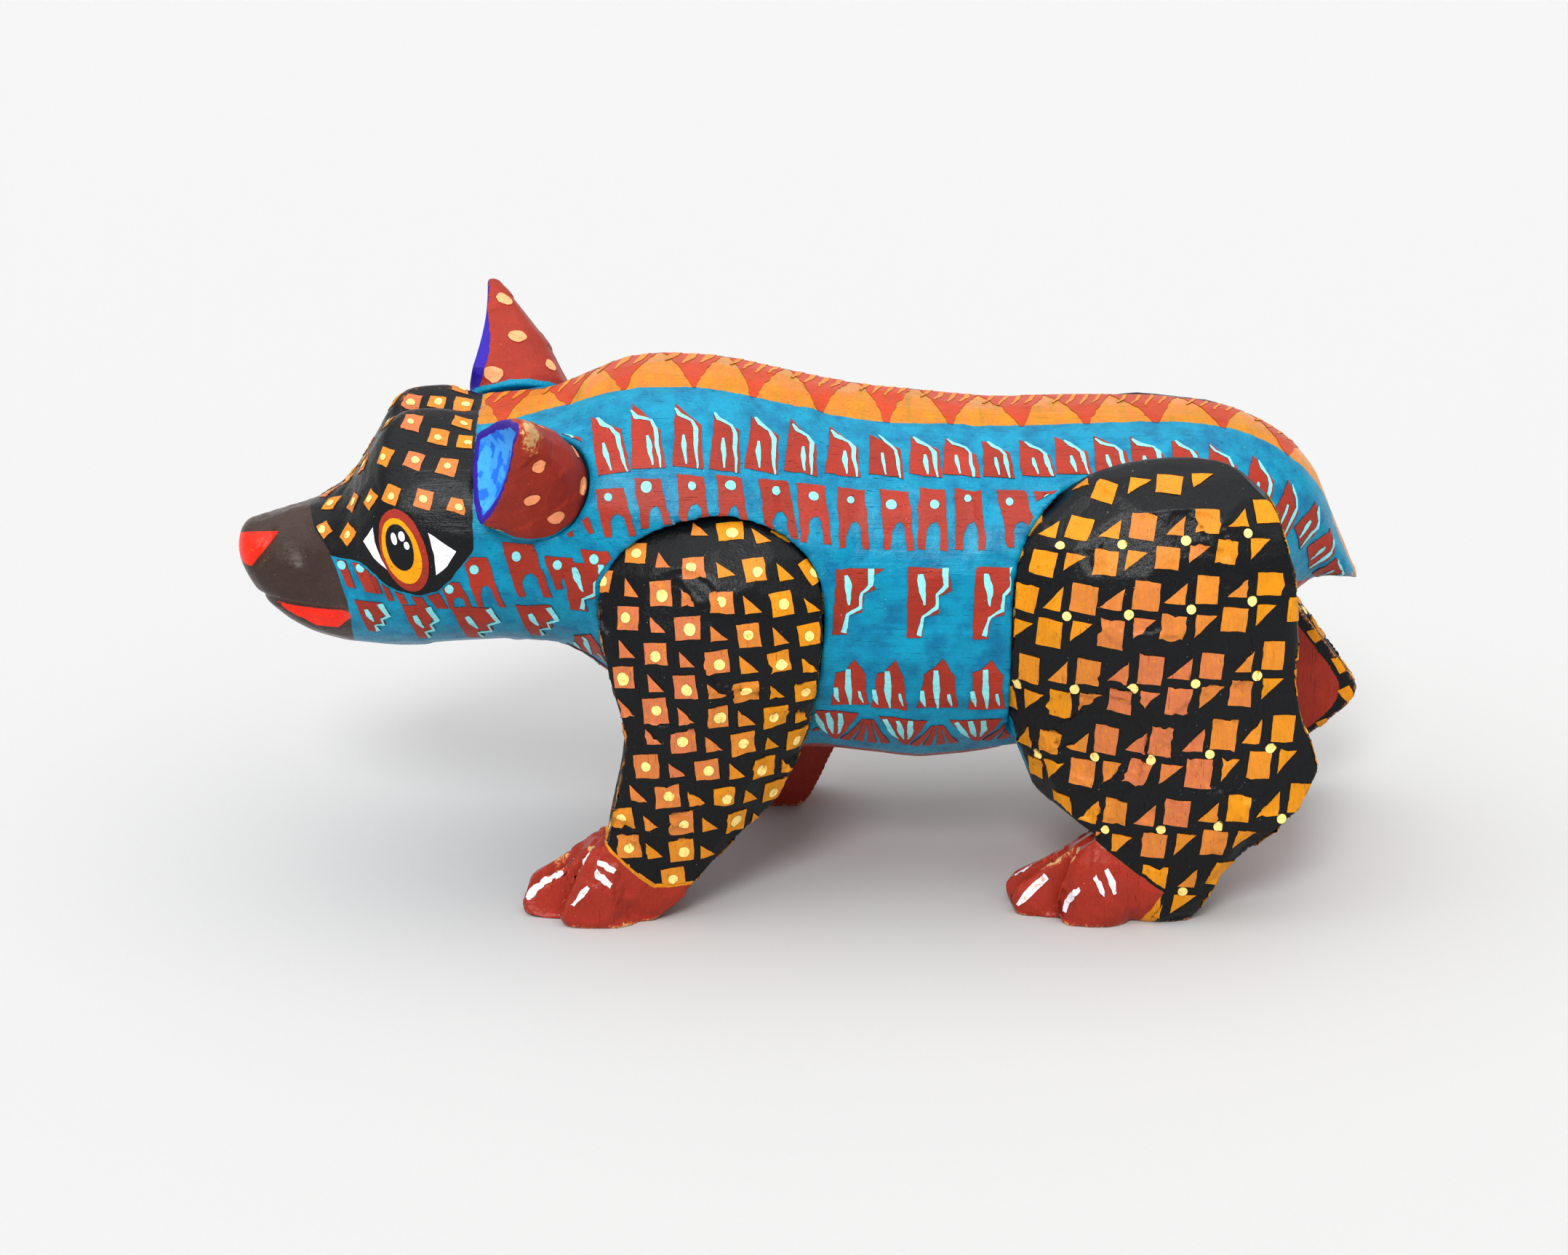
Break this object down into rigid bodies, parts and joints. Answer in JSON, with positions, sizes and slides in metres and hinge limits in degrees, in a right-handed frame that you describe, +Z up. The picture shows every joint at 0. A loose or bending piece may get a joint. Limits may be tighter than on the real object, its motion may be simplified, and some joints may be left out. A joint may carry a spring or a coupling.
{
  "type": "carved bear figure",
  "caption": "Hand-carved, painted wooden bear in a walking stance, with glued leg slabs and loose plug-in ears on round pegs.",
  "frame": {"origin": "on the ground under the middle of the figure's box", "axes": "+Z up, -X towards the nose, +X towards the tail, -Y towards the bear's own left side"},
  "size_m": [0.2444, 0.0972, 0.1187],
  "materials": {
    "painted_body": "satin acrylic paint on carved wood",
    "painted_leg": "satin acrylic paint on carved wood",
    "painted_ear": "satin acrylic paint on carved wood",
    "raw_wood": "bare whittled wood",
    "brushed_motifs": "satin acrylic paint, thick brush strokes"
  },
  "bodies": {
    "root": {"body": "painted_body", "leg_front_left": "painted_leg", "leg_front_right": "painted_leg", "leg_rear_left": "painted_leg", "leg_rear_right": "painted_leg", "dowel_front_left_upper": "raw_wood", "dowel_front_left_lower": "raw_wood", "dowel_front_right_upper": "raw_wood", "dowel_front_right_lower": "raw_wood", "dowel_rear_left_upper": "raw_wood", "dowel_rear_left_lower": "raw_wood", "dowel_rear_right_upper": "raw_wood", "dowel_rear_right_lower": "raw_wood"},
    "left_peg": {"ear_peg_left": "raw_wood"},
    "left_ear": {"ear_left": "painted_ear"},
    "right_peg": {"ear_peg_right": "raw_wood"},
    "right_ear": {"ear_right": "painted_ear"}
  },
  "joints": [
    {"name": "left_ear_turn", "type": "hinge", "parent": "root", "child": "left_peg", "pos_m": [-0.05775, -0.02426, 0.0915], "axis": [0.0668, -0.7631, 0.6428], "range_deg": [-40, 40]},
    {"name": "left_ear_pull", "type": "slide", "parent": "left_peg", "child": "left_ear", "axis": [0.0668, -0.7631, 0.6428], "range_m": [0, 0.012]},
    {"name": "right_ear_turn", "type": "hinge", "parent": "root", "child": "right_peg", "pos_m": [-0.06275, 0.02424, 0.0945], "axis": [-0.056, 0.6403, 0.766], "range_deg": [-40, 40]},
    {"name": "right_ear_pull", "type": "slide", "parent": "right_peg", "child": "right_ear", "axis": [-0.056, 0.6403, 0.766], "range_m": [0, 0.012]}
  ]
}
